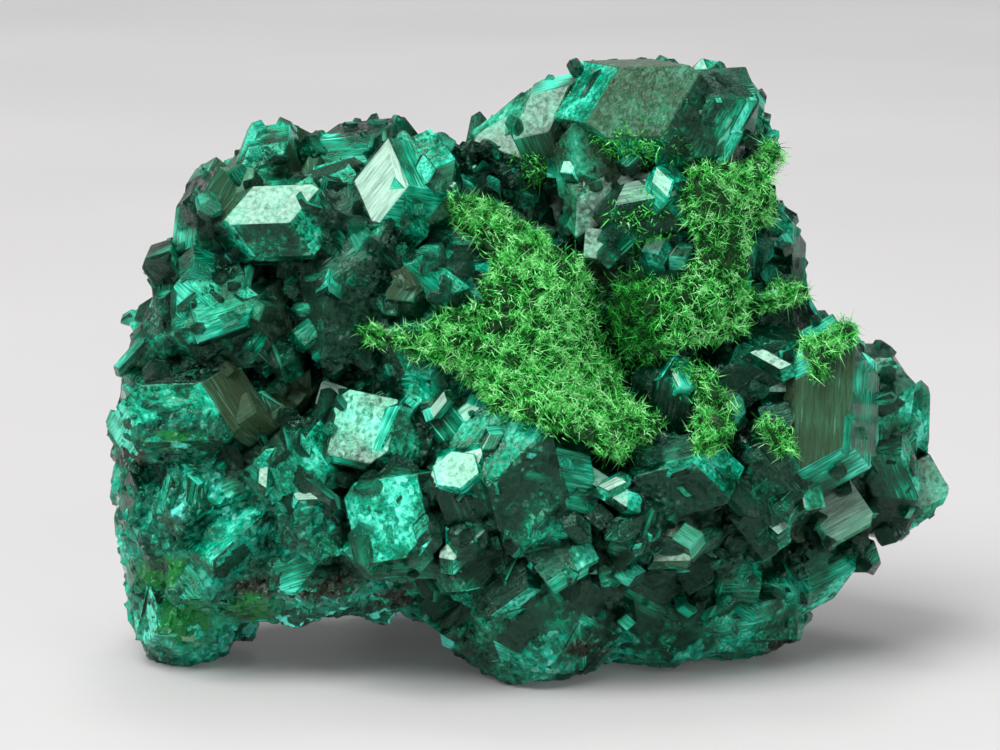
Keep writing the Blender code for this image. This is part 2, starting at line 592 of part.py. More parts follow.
def broken_blocks(core, collection):
    """Convex lumps with random flat faces, sunk in the core where it is bare and rough."""
    chance = random.Random(BLOCK_SEED)
    faces = [
        face
        for face in core.data.polygons
        if face.center.z > BLOCK_LOWEST_Z and (face.center.z < BLOCK_TOP_Z or face.center.y > BLOCK_BACK_Y)
    ]
    areas = [face.area for face in faces]
    placed = []
    for _ in range(BLOCK_TRIES):
        face = chance.choices(faces, areas)[0]
        radius = chance.uniform(*BLOCK_RADII)
        if any((face.center - other).length < BLOCK_SPACING * (radius + size) for other, size in placed):
            continue
        spin = Matrix.Rotation(chance.uniform(0, math.tau), 3, "X") @ Matrix.Rotation(
            chance.uniform(0, math.tau), 3, "Z"
        )
        planes = []
        for base in BLOCK_NORMALS:
            normal = spin @ base + Vector([chance.gauss(0, BLOCK_SKEW) for _ in range(3)])
            planes.append((normal.normalized(), radius * chance.uniform(*BLOCK_CUTS)))
        bm = cut_crystal(planes)
        middle = face.center - face.normal * radius * BLOCK_SINK
        bmesh.ops.translate(bm, vec=middle, verts=bm.verts[:])
        if not within_front(bm):
            bm.free()
            continue
        new_object(f"block_{len(placed):02d}", bm, collection)
        placed.append((face.center.copy(), radius))
        if len(placed) == BLOCK_COUNT:
            break


def grow_cluster(parts, helpers):
    """Core and crystals fused into one solid."""
    core = make_core(helpers)
    graph = bpy.context.evaluated_depsgraph_get()
    core_tree = BVHTree.FromObject(core, graph)
    crystals = new_collection("crystals to fuse", hidden=True)
    seated = named_crystals(core_tree, crystals)
    fill_crystals(core, seated, crystals)
    broken_blocks(core, crystals)
    fuse = core.modifiers.new("grown together", "BOOLEAN")
    fuse.operation = "UNION"
    fuse.operand_type = "COLLECTION"
    fuse.collection = crystals
    fuse.solver = "EXACT"
    cluster = coarser(applied(core, "dioptase_cluster", parts), CLUSTER_TRIANGLES, parts)
    cut_flat(cluster.data)
    keep_largest(cluster.data)
    for crystal in list(crystals.objects):
        bpy.data.objects.remove(crystal)
    bpy.data.collections.remove(crystals)
    return cluster


# ---- fornacite mats ----


def flat_mat(outline):
    """A grid of small squares cut to the outline, its rim moved onto it."""
    xs = [x for x, _ in outline]
    hs = [h for _, h in outline]
    half_x = (max(xs) - min(xs)) / 2
    half_h = (max(hs) - min(hs)) / 2
    cell = min(MAT_CELL, 2 * min(half_x, half_h) / MAT_LEAST_CELLS)
    middle = Vector(((max(xs) + min(xs)) / 2, (max(hs) + min(hs)) / 2, 0))
    bm = bmesh.new()
    bmesh.ops.create_grid(
        bm,
        x_segments=round(2 * half_x / cell),
        y_segments=round(2 * half_h / cell),
        size=1,
        matrix=Matrix.Translation(middle) @ Matrix.Diagonal((half_x, half_h, 1, 1)),
    )
    outer = [face for face in bm.faces if not inside(outline, *face.calc_center_median().xy)]
    bmesh.ops.delete(bm, geom=outer, context="FACES")
    for vert in [v for v in bm.verts if v.is_boundary]:
        distance, x, h = nearest_on(outline, *vert.co.xy)
        if distance < cell:
            vert.co = Vector((x, h, 0))
    return bm


def mat_depths(bm, tree):
    """For each grid point, the distances from the eye to the mat's front and back."""
    eye = eye_point()
    nearest = {}
    for vert in bm.verts:
        found = []
        for dx in (-MAT_FEEL, 0, MAT_FEEL):
            for dh in (-MAT_FEEL, 0, MAT_FEEL):
                hit = tree.ray_cast(eye, sight_line(vert.co.x + dx, vert.co.y + dh))
                if hit[0] is not None:
                    found.append(hit[3])
        nearest[vert] = min(found) if found else None
    known = [d for d in nearest.values() if d is not None]
    middle = sum(known) / len(known)
    back = {vert: (middle if d is None else d) - MAT_GAP for vert, d in nearest.items()}
    for _ in range(MAT_STEEP_PASSES):
        for vert in bm.verts:
            for edge in vert.link_edges:
                steepest = back[edge.other_vert(vert)] + edge.calc_length() * MAT_STEEPEST
                back[vert] = min(back[vert], steepest)
    smooth = dict(back)
    for _ in range(MAT_SMOOTH_PASSES):
        smooth = {
            vert: (smooth[vert] + sum(smooth[e.other_vert(vert)] for e in vert.link_edges))
            / (1 + len(vert.link_edges))
            for vert in bm.verts
        }
    return smooth, back


def drape_mat(name, outline, thickness, tree, parts):
    """A blanket over the crystals inside the outline, thickest away from its rim."""
    outline = [(x * MM, h * MM) for x, h in outline]
    bm = flat_mat(outline)
    spot = bm.verts.layers.int.new("spot")
    smooth, back = mat_depths(bm, tree)
    eye = eye_point()
    fronts, backs = [], []
    for index, vert in enumerate(bm.verts):
        vert[spot] = index
        x, h = vert.co.xy
        rise = min(nearest_on(outline, x, h)[0] / MAT_RISE, 1)
        thick = MAT_LEAST + (thickness * MM - MAT_LEAST) * math.sin(rise * math.pi / 2)
        wave = MAT_WAVE * noise.noise(Vector((x, h, 0)) / MAT_WAVE_SIZE)
        front = min(smooth[vert], back[vert]) - thick - wave * rise
        line = sight_line(x, h)
        fronts.append(eye + line * front)
        backs.append(eye + line * back[vert])
    grown = bmesh.ops.extrude_face_region(bm, geom=bm.faces[:], use_keep_orig=True)["geom"]
    raised = {item for item in grown if isinstance(item, bmesh.types.BMVert)}
    for vert in bm.verts:
        vert.co = fronts[vert[spot]] if vert in raised else backs[vert[spot]]
    bmesh.ops.recalc_face_normals(bm, faces=bm.faces[:])
    bmesh.ops.triangulate(bm, faces=bm.faces[:])
    mat = new_object(name, bm, parts)
    keep_largest(mat.data)
    return mat


# ---- assembly ----


def move_origin(objects):
    """Puts the origin under the middle of the whole specimen's box."""
    corners = [vert.co for obj in objects for vert in obj.data.vertices]
    middle_x = (min(c.x for c in corners) + max(c.x for c in corners)) / 2
    middle_y = (min(c.y for c in corners) + max(c.y for c in corners)) / 2
    for obj in objects:
        obj.data.transform(Matrix.Translation((-middle_x, -middle_y, 0)))


def main():
    clear_scene()
    parts = new_collection("Dioptase with fornacite")
    helpers = new_collection("helpers", hidden=True)
    dioptase = new_material(*DIOPTASE)
    fornacite = new_material(*FORNACITE)

    cluster = grow_cluster(parts, helpers)
    cluster.data.materials.clear()
    cluster.data.materials.append(dioptase)
    tree = BVHTree.FromObject(cluster, bpy.context.evaluated_depsgraph_get())
    for name, (outline, thickness) in MATS.items():
        mat = drape_mat(name, outline, thickness, tree, parts)
        mat.data.materials.append(fornacite)
    move_origin(parts.objects)


main()
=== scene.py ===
import json
import math
import random

import bpy
from mathutils import Matrix, Vector, noise
from mathutils.bvhtree import BVHTree

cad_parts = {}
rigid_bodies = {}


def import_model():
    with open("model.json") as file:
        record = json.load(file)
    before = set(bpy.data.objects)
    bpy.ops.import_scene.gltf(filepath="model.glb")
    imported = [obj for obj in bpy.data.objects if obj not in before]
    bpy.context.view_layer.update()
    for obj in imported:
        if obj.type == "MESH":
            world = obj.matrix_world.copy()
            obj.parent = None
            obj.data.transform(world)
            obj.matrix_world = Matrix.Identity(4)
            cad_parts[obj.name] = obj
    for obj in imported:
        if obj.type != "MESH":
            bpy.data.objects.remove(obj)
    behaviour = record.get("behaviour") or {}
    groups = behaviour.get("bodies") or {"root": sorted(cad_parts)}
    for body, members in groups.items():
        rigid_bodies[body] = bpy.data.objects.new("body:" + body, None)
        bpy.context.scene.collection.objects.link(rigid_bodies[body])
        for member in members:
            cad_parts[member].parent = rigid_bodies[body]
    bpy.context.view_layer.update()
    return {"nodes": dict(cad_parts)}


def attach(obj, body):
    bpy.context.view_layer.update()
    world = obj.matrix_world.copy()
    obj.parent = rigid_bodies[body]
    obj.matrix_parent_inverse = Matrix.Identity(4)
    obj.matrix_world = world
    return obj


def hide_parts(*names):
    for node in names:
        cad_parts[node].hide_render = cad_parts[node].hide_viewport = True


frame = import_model()
mm = 0.001

# the eye looks down on the specimen by the tilt, and places "on the elevation" are what it sees, in mm
# right of the middle and above the front toe, which shows a little lower than the specimen's origin
view = {"tilt": math.radians(10), "distance": 400 * mm, "right": -2.5 * mm, "up": 27.4 * mm,
        "toe": 3.3 * mm, "shift": Vector((-0.31, 1.31, 0)) * mm, "lens": 144}
toRight = Vector((1, 0, 0))
toTop = Vector((0, math.sin(view["tilt"]), math.cos(view["tilt"])))
toFront = Vector((0, -math.cos(view["tilt"]), math.sin(view["tilt"])))
eyePoint = toRight * view["right"] + toTop * view["up"] + toFront * view["distance"] + view["shift"]


def onElevation(point):
    off = point - eyePoint
    depth = -off.dot(toFront)
    scale = view["distance"] / depth
    return ((off.dot(toRight) * scale + view["right"]) / mm,
            (off.dot(toTop) * scale + view["up"] + view["toe"]) / mm)


def join(value, socket):
    # a link where the value is one, a number or colour where it isn't
    if isinstance(value, Wire):
        socket.id_data.links.new(value.socket, socket)
    elif isinstance(value, tuple):
        socket.default_value = (*value, 1)[:len(socket.default_value)]
    else:
        socket.default_value = value


class Wire:
    # an output socket that works in sums
    def __init__(self, socket):
        self.socket = socket

    def calc(self, operation, *values):
        node = self.socket.id_data.nodes.new("ShaderNodeMath")
        node.operation = operation
        for value, socket in zip(values, node.inputs):
            join(value, socket)
        return Wire(node.outputs[0])

    def __add__(self, other):
        return self.calc("ADD", self, other)

    def __radd__(self, other):
        return self.calc("ADD", other, self)

    def __sub__(self, other):
        return self.calc("SUBTRACT", self, other)

    def __rsub__(self, other):
        return self.calc("SUBTRACT", other, self)

    def __mul__(self, other):
        return self.calc("MULTIPLY", self, other)

    def __rmul__(self, other):
        return self.calc("MULTIPLY", other, self)

    def __truediv__(self, other):
        return self.calc("DIVIDE", self, other)

    def __rtruediv__(self, other):
        return self.calc("DIVIDE", other, self)

    def __pow__(self, other):
        return self.calc("POWER", self, other)

    def __rpow__(self, other):
        return self.calc("POWER", other, self)

    def fraction(self):
        return self.calc("FRACT", self)

    def under(self, limit):
        return self.calc("LESS_THAN", self, limit)

    def over(self, limit):
        return self.calc("GREATER_THAN", self, limit)

    def beside(self, name):
        # another output of the same node
        return Wire(self.socket.node.outputs[name])

    def above(self, low, high):
        # 0 under low, 1 over high, smooth between
        node = self.socket.id_data.nodes.new("ShaderNodeMapRange")
        node.interpolation_type = "SMOOTHSTEP"
        for value, name in ((self, "Value"), (low, "From Min"), (high, "From Max")):
            join(value, node.inputs[name])
        return Wire(node.outputs[0])


class Bench:
    # a material or geometry tree being wired up
    def __init__(self, tree):
        self.tree = tree

    def add(self, kind, settings, values, out=0):
        node = self.tree.nodes.new(kind)
        for name, value in settings.items():
            if name == "stops":
                fillRamp(node.color_ramp, value)
            else:
                setattr(node, name, value)
        for name, value in values.items():
            socket = next(s for s in node.inputs if name in (s.name, s.identifier) and s.enabled)
            join(value, socket)
        outs = [s for s in node.outputs if s.enabled]
        return Wire(outs[out] if isinstance(out, int) else node.outputs[out]) if outs else node

    def mix(self, share, first, second):
        return self.add("ShaderNodeMix", {"data_type": "RGBA"},
                        {"Factor_Float": share, "A_Color": first, "B_Color": second})

    def noise(self, place, scale, detail, rough=0.5, **settings):
        return self.add("ShaderNodeTexNoise", settings,
                        {"Vector": place, "Scale": scale, "Detail": detail, "Roughness": rough})

    def ramp(self, value, stops):
        return self.add("ShaderNodeValToRGB", {"stops": stops}, {"Fac": value})

    def attribute(self, name):
        return self.add("ShaderNodeAttribute", {"attribute_name": name}, {}, "Fac")

    def part(self, vector, axis):
        return self.add("ShaderNodeSeparateXYZ", {}, {"Vector": vector}, axis)

    def vector(self, operation, first, second, out=0):
        return self.add("ShaderNodeVectorMath", {"operation": operation},
                        {"Vector": first, "Vector_001": second}, out)

    def scaled(self, vector, factor):
        return self.add("ShaderNodeVectorMath", {"operation": "SCALE"}, {"Vector": vector, "Scale": factor})

    def shards(self, place, scale, **settings):
        # broken cells: a random tone for each, and its height with each tilted its own way
        colours = self.add("ShaderNodeTexVoronoi", settings, {"Vector": place, "Scale": scale}, "Color")
        tone = self.add("ShaderNodeSeparateColor", {}, {"Color": colours}, 0) - 0.5
        off = self.vector("SUBTRACT", place, colours.beside("Position"))
        way = self.vector("SUBTRACT", colours, (0.5, 0.5, 0.5))
        return tone, self.vector("DOT_PRODUCT", off, way, "Value")

    def named(self, name, kind="FLOAT"):
        return self.add("GeometryNodeInputNamedAttribute", {"data_type": kind}, {"Name": name})

    def chance(self, seed, low=0.0, high=1.0):
        return self.add("FunctionNodeRandomValue", {"data_type": "FLOAT"},
                        {"Min": low, "Max": high, "Seed": seed})

    def strayed(self, vector, stray, seed):
        # the vector with a random one added, each of its parts up to the stray
        by = self.add("FunctionNodeRandomValue", {"data_type": "FLOAT_VECTOR"},
                      {"Min": (-stray,) * 3, "Max": (stray,) * 3, "Seed": seed})
        return self.vector("ADD", vector, by)

    def marked(self, geometry, name, value, domain="INSTANCE"):
        return self.add("GeometryNodeStoreNamedAttribute", {"data_type": "FLOAT", "domain": domain},
                        {"Geometry": geometry, "Name": name, "Value": value})

    def raised(self, points, normal, height):
        return self.add("GeometryNodeSetPosition", {},
                        {"Geometry": points, "Offset": self.scaled(normal, height)})

    def together(self, pieces):
        whole = self.add("GeometryNodeJoinGeometry", {}, {})
        for piece in pieces:
            join(piece, whole.socket.node.inputs[0])
        return whole


def fillRamp(ramp, stops):
    while len(ramp.elements) < len(stops):
        ramp.elements.new(0.5)
    for element, (place, colour) in zip(ramp.elements, stops):
        element.position = place
        element.color = (*colour, 1)


def newMaterial(name):
    material = bpy.data.materials.new(name)
    material.use_nodes = True
    material.node_tree.nodes.clear()
    return material, Bench(material.node_tree)


def newTree(name):
    # a geometry tree with the ground it grows on
    tree = bpy.data.node_groups.new(name, "GeometryNodeTree")
    for way in ("INPUT", "OUTPUT"):
        tree.interface.new_socket("Geometry", in_out=way, socket_type="NodeSocketGeometry")
    bench = Bench(tree)
    return tree, bench, bench.add("NodeGroupInput", {}, {})


dioptaseLook = {
    "black": (0.0002, 0.014, 0.007), "deep": (0.0003, 0.085, 0.042), "emerald": (0.0006, 0.26, 0.135),
    "teal": (0.002, 0.5, 0.3), "aqua": (0.09, 0.88, 0.63), "dust": (0.05, 0.078, 0.038),
    # pale: the colour of the painted highlights and glints
    "pale": (0.4, 0.57, 0.48), "shineTint": (0.45, 1.0, 0.72), "clearTint": (0.3, 0.95, 0.72),
    "ior": 1.66, "specular": 0.3, "absorbs": (0.0, 0.77, 0.66), "density": 1000,
    "streaks": 1.1, "shards": 1.3, "glow": 300,  # scales of growth lines, broken cells and the glow within
    "even": (1.8, 1.8), "striated": (0.3, 4.8), "jump": (90, 57),  # stretch of a face's map, and its start
}


def dioptaseMaterial(name, look):
    material, bench = newMaterial(name)
    place = bench.add("ShaderNodeTexCoord", {}, {}, "Object")
    flat = bench.add("ShaderNodeUVMap", {"uv_map": "facetMap"}, {})
    facet = (bench.attribute("facet") + bench.attribute("each") * 5).fraction()
    second = (facet * 7.3).fraction()
    calm, hollow, dust = bench.attribute("calm"), bench.attribute("hollow"), bench.attribute("dust")
    striated = second.above(0.45, 0.6)
    sides = []
    for axis, even, lined, jump in zip("XY", look["even"], look["striated"], look["jump"]):
        sides.append(bench.part(flat, axis) * (even + striated * (lined - even)) + facet * jump)
    sheet = bench.add("ShaderNodeCombineXYZ", {}, {"X": sides[0], "Y": sides[1]})
    streaks = bench.noise(sheet, look["streaks"], 3, 0.75, noise_dimensions="2D") - 0.5
    glow = bench.noise(place, look["glow"], 1, 0.6) - 0.5
    shardTone, tilted = bench.shards(sheet, look["shards"], voronoi_dimensions="2D")
    # colour: dark to bright and darker deep in the hollows as painted shade, then dust, then painted
    # highlight on the listed faces with a few painted glints
    tone = (facet * 0.96 + glow * (1.6 - dust * 0.8) + streaks * (1.1 - striated * 0.25)
            + shardTone * 0.25 - hollow * 0.95 - 0.1)
    colour = bench.ramp(tone, [(0.0, look["black"]), (0.22, look["deep"]), (0.46, look["emerald"]),
                               (0.72, look["teal"]), (0.98, look["aqua"])])
    dusty = (dust * 0.8 + facet.above(0.93, 0.97) * 0.2) * (0.85 + streaks * 0.9)
    colour = bench.mix(dusty, colour, look["dust"])
    # sparkle: painted glints, pale specks on some broken cells and growth lines
    sparkle = shardTone.above(0.36, 0.5) * 0.3 + streaks.above(0.2, 0.28)
    sparkle = sparkle * glow.above(-0.02, 0.12) * (1 - hollow) * 0.8
    paintedHighlight = bench.attribute("pale") * (streaks * 1.7 + shardTone * 0.5 + 0.85) + sparkle
    colour = bench.mix(paintedHighlight, colour, look["pale"])
    # relief: coarse broken cells on some faces, growth lines on all
    coarse = ((1 - second).above(0.2, 0.9) * 0.3 + 0.05) * (1 - calm * 0.8) * (1 - dust * 0.7)
    relief = tilted * coarse + streaks * 0.1 * (1 - calm * 0.6)
    bump = bench.add("ShaderNodeBump", {}, {"Height": relief, "Distance": mm, "Strength": 1.0})
    rough = 0.05 + shardTone.above(0.0, 0.5) * 0.08 + dusty * 0.3
    shared = {"Roughness": rough, "Normal": bump, "IOR": look["ior"], "Specular Tint": look["shineTint"]}
    cloudyBody = bench.add("ShaderNodeBsdfPrincipled", {}, {
        **shared, "Base Color": colour, "Specular IOR Level": look["specular"]})
    clearBody = bench.add("ShaderNodeBsdfPrincipled", {}, {
        **shared, "Base Color": look["clearTint"], "Transmission Weight": 1.0})
    cloud = (streaks + glow + shardTone * 0.3).above(-0.2, 0.3) * 0.3 + 0.6
    body = bench.add("ShaderNodeMixShader", {}, {
        "Fac": cloud + dusty + paintedHighlight, "Shader": clearBody, "Shader_001": cloudyBody})
    depth = bench.add("ShaderNodeVolumeAbsorption", {}, {
        "Color": look["absorbs"], "Density": look["density"]})
    bench.add("ShaderNodeOutputMaterial", {}, {"Surface": body, "Volume": depth})
    return material


rockLook = {
    "dark": (0.0006, 0.022, 0.013), "green": (0.0015, 0.14, 0.078), "teal": (0.004, 0.46, 0.3),
    "brown": (0.018, 0.014, 0.009), "aqua": (0.12, 0.9, 0.72), "moss": (0.006, 0.17, 0.03),
    # pale: the colour of the painted glints
    "pale": (0.34, 0.56, 0.46), "shineTint": (0.5, 1.0, 0.75), "ior": 1.62, "specular": 0.35,
    "broad": 150, "fine": 1100, "shards": 1500, "grain": 0.0003,
}


def rockMaterial(name, look):
    material, bench = newMaterial(name)
    place = bench.add("ShaderNodeTexCoord", {}, {}, "Object")
    broad = bench.noise(place, look["broad"], 2, 0.6) - 0.5
    fine = bench.noise(place, look["fine"], 3, 0.75) - 0.5
    shardTone, tilted = bench.shards(place, look["shards"])
    tone = broad * 1.9 + fine * 1.2 + shardTone * 0.3 + 0.43
    colour = bench.ramp(tone, [(0.05, look["dark"]), (0.4, look["green"]), (0.8, look["teal"]),
                               (1.0, look["aqua"])])
    for patch in ("brown", "moss", "aqua"):
        share = (bench.attribute(patch) * 1.4 + fine * 1.4 - 0.3).above(0.1, 0.6)
        colour = bench.mix(share, colour, look[patch])
    # a few broken cells turn pale: painted glints
    colour = bench.mix(shardTone.above(0.3, 0.48) * broad.above(-0.02, 0.14) * 0.4, colour, look["pale"])
    relief = tilted * 0.8 + fine * look["grain"]
    bump = bench.add("ShaderNodeBump", {}, {"Height": relief, "Distance": 1.0, "Strength": 1.0})
    body = bench.add("ShaderNodeBsdfPrincipled", {}, {
        "Base Color": colour, "Roughness": 0.08 + fine.above(-0.05, 0.25) * 0.22, "Normal": bump,
        "IOR": look["ior"], "Specular Tint": look["shineTint"], "Specular IOR Level": look["specular"]})
    bench.add("ShaderNodeOutputMaterial", {}, {"Surface": body})
    return material


fornaciteLook = {"dark": (0.002, 0.035, 0.005), "mid": (0.03, 0.46, 0.05), "bright": (0.12, 0.86, 0.15),
                 "pale": (0.38, 1.0, 0.38), "patches": 700, "ior": 1.5, "specular": 0.2}


def fornaciteMaterial(name, look):
    material, bench = newMaterial(name)
    place = bench.add("ShaderNodeTexCoord", {}, {}, "Object")
    patches = bench.noise(place, look["patches"], 2, 0.6)
    # tone rises with each needle's height, and the cushion, having none, stays darkest: painted shade in the
    # mat's depth; marked shade darkens it further
    tone = (bench.attribute("each") * 0.9 + patches * 3 - 1.3) * bench.attribute("high") * (
        1 - bench.attribute("shade") * 0.7)
    colour = bench.ramp(tone, [(0.03, look["dark"]), (0.3, look["mid"]), (0.58, look["bright"]),
                               (0.82, look["pale"])])
    body = bench.add("ShaderNodeBsdfPrincipled", {}, {
        "Base Color": colour, "Roughness": 0.4 + patches * 0.3, "IOR": look["ior"],
        "Specular IOR Level": look["specular"]})
    bench.add("ShaderNodeOutputMaterial", {}, {"Surface": body})
    return material


def onlySelect(piece):
    bpy.ops.object.select_all(action="DESELECT")
    piece.select_set(True)
    bpy.context.view_layer.objects.active = piece


def inEditMode(piece, step):
    onlySelect(piece)
    bpy.ops.object.mode_set(mode="EDIT")
    bpy.ops.mesh.select_all(action="SELECT")
    step()
    bpy.ops.object.mode_set(mode="OBJECT")


def modified(piece, kind, **settings):
    modifier = piece.modifiers.new(kind.lower(), kind)
    for name, value in settings.items():
        setattr(modifier, name, value)
    onlySelect(piece)
    bpy.ops.object.modifier_apply(modifier=modifier.name)
    return piece


def copyOf(nodeName, name):
    # a merged copy of a frame node's mesh
    piece = bpy.data.objects.new(name, frame["nodes"][nodeName].data.copy())
    bpy.context.scene.collection.objects.link(piece)
    piece.data.materials.clear()
    inEditMode(piece, lambda: bpy.ops.mesh.remove_doubles(threshold=2e-6))
    return piece


def dressed(piece, material, slot, *nodes):
    piece.data.materials.clear()
    piece.data.materials.append(material)
    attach(piece, "root")
    if nodes:
        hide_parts(*nodes)
    print(piece.name, sum(len(face.vertices) - 2 for face in piece.data.polygons), "triangles")
    return piece


def mapFacets(mesh, seed, unit=mm):
    # each flat face gets a random tone, and a map in mm that runs across its longest edge
    chance = random.Random(seed)
    mesh.attributes.new("facet", "FLOAT", "FACE")
    mesh.attributes.new("run", "FLOAT_VECTOR", "FACE")
    layout = mesh.uv_layers.new(name="facetMap")
    tones, runs = mesh.attributes["facet"], mesh.attributes["run"]
    for face in mesh.polygons:
        tones.data[face.index].value = chance.random()
        corners = [mesh.vertices[i].co for i in face.vertices]
        edges = [b - a for a, b in zip(corners, corners[1:] + corners[:1])]
        run = max(edges, key=lambda edge: edge.length).normalized()
        across = face.normal.cross(run)
        runs.data[face.index].vector = run
        for corner, loop in zip(corners, face.loop_indices):
            off = (corner - face.center) / unit
            layout.data[loop].uv = (off.dot(run), off.dot(across))


bevelAngle = math.radians(20)
shine = (-12, 34)  # turn and tilt of the faces that mirror the key light
clusterForm = {
    "flatWithin": math.radians(2), "edge": 0.08 * mm, "foot": 0.5 * mm, "toneSeed": 3,
    # the rays that weigh how deep a corner lies
    "looks": 14, "lookSeed": 5, "lift": 0.05 * mm, "reach": 5 * mm, "grazing": 0.15,
    "shineWithin": math.radians(9), "paleWithin": math.radians(14), "plateArea": 2.5 * mm * mm,
}


def facing(turn, tilt):
    a, b = math.radians(turn), math.radians(tilt)
    return Vector((math.sin(a) * math.cos(b), -math.cos(a) * math.cos(b), math.sin(b)))


def treeOf(mesh):
    return BVHTree.FromPolygons([v.co for v in mesh.vertices], [list(p.vertices) for p in mesh.polygons])


def weighHollows(mesh, form):
    # 0 on a corner that stands out, up to 1 deep between crystals: the share of looks that hit stone
    tree = treeOf(mesh)
    chance = random.Random(form["lookSeed"])
    looks = [Vector([chance.gauss(0, 1) for _ in range(3)]).normalized() for _ in range(form["looks"])]
    # this depth also darkens the dioptase colour in the corners, a painted shade, and sets where small
    # crystals grow
    hollow = mesh.attributes.new("hollow", "FLOAT", "POINT")
    for corner in mesh.vertices:
        hits = seen = 0
        for look in looks:
            if look.dot(corner.normal) > form["grazing"]:
                seen += 1
                if tree.ray_cast(corner.co + corner.normal * form["lift"], look, form["reach"])[0]:
                    hits += 1
        hollow.data[corner.index].value = hits / max(seen, 1) * (1 - 0.9 * massive(corner.co, corner.normal))


massiveForm = {"zones": [(-46, -19, -2, 19), (-46, -30, 17, 29), (-30, -11, -2, 11.5), (-12, 30, -2, 4.5)],
               "behind": 6 * mm, "patches": 70, "thinsFrom": 14}  # zones: left, right, low and high in mm


def massive(point, normal, form=massiveForm):
    # 1 where the stone is broken massive dioptase and matrix, 0 where crystals grow
    x, h = onElevation(point)
    wander = noise.noise(point * 160) * 2.5 + noise.noise(point * 500) * 1.2  # mm that a zone's edge strays
    if point.y > form["behind"] or normal.y > 0.5:
        share = 0.55 + noise.noise(point * form["patches"]) * 1.6 - max(h - form["thinsFrom"], 0) * 0.02
    else:
        share = 0
        for left, right, low, high in form["zones"]:
            inside = min(x - left, right - x, h - low, high - h) + wander
            share = max(share, inside / 2 + 0.5)
    if normal.z < -0.6:  # an underside
        share = max(share, 1 - h * 0.04)
    return min(max(share, 0), 1)


rockForm = {"voxel": 0.55 * mm, "sink": 1.0 * mm, "proud": 0.1 * mm, "lumps": 0.7 * mm, "lumpScale": 420,
            "grain": 0.35 * mm, "grainScale": 1300, "rim": 1.1}
archRim = [(-28, 3.2), (-26.8, 5.4), (-22.5, 6.1), (-17.5, 6.8), (-12.5, 6.5), (-8.5, 5.8), (-7, 4.4)]
# spots on the elevation, in mm: right, up, half width and half height
brownSpots = [(-21, 10, 9, 3.4), (-27, 9.4, 5, 2), (-13, 8.6, 5, 1.8), (-39.5, 22.5, 3, 2), (25, 4, 3.5, 2.4),
              (6, 3.4, 4, 1.6)]
mossSpots = [(-34, 6, 6, 4.4), (-27.5, 7.4, 4.4, 2.6), (-36, 11, 5, 3), (-35, 24.2, 5, 1.6)]
aquaSpots = [(-34.5, 17.5, 2, 3), (-31, 20, 3, 1.2), (-34.4, 23.8, 3.8, 1)]


def spotShare(x, h, spots):
    return max(1 - math.hypot((x - cx) / rx, (h - ch) / rh) for cx, ch, rx, rh in spots)


def toLine(x, h, line):
    # how far a place on the elevation is from a chain of points, in mm
    best = 99
    for (ax, ah), (bx, bh) in zip(line, line[1:]):
        along = ((x - ax) * (bx - ax) + (h - ah) * (bh - ah)) / ((bx - ax) ** 2 + (bh - ah) ** 2)
        along = min(max(along, 0), 1)
        best = min(best, math.hypot(x - ax - along * (bx - ax), h - ah - along * (bh - ah)))
    return best


def makeRock(form):
    # the massive stone: a finer skin that stands out of the crystals' sides only where it is bare
    rock = copyOf("dioptase_cluster", "massiveStone")
    modified(rock, "REMESH", mode="VOXEL", voxel_size=form["voxel"])
    mesh = rock.data
    paint = {name: mesh.attributes.new(name, "FLOAT", "POINT") for name in ("brown", "moss", "aqua")}
    places = [(corner.co.copy(), corner.normal.copy()) for corner in mesh.vertices]  # before any moves
    for corner, (point, normal) in zip(mesh.vertices, places):
        share = massive(point, normal)
        x, h = onElevation(point)
        front = float(normal.dot(toFront) > -0.2)
        back = (1 - front) * (0.3 + noise.noise(point * 60) * 1.5)
        paint["brown"].data[corner.index].value = max(spotShare(x, h, brownSpots) * front, back, 0)
        paint["moss"].data[corner.index].value = max(spotShare(x, h, mossSpots) * front, 0)
        rim = max(1.2 - toLine(x, h, archRim) / form["rim"], 0) if front and normal.z > -0.8 else 0
        paint["aqua"].data[corner.index].value = max(rim, spotShare(x, h, aquaSpots) * front * 0.6, 0)
        lumps = noise.fractal(point * form["lumpScale"], 0.9, 2.1, 3)
        grain = abs(noise.noise(point * form["grainScale"])) * 2 - 0.4
        corner.co += normal * ((share - 1) * form["sink"] + share * (
            form["proud"] + lumps * form["lumps"] + grain * form["grain"]))
        corner.co.z = max(corner.co.z, 0.0)
    return rock
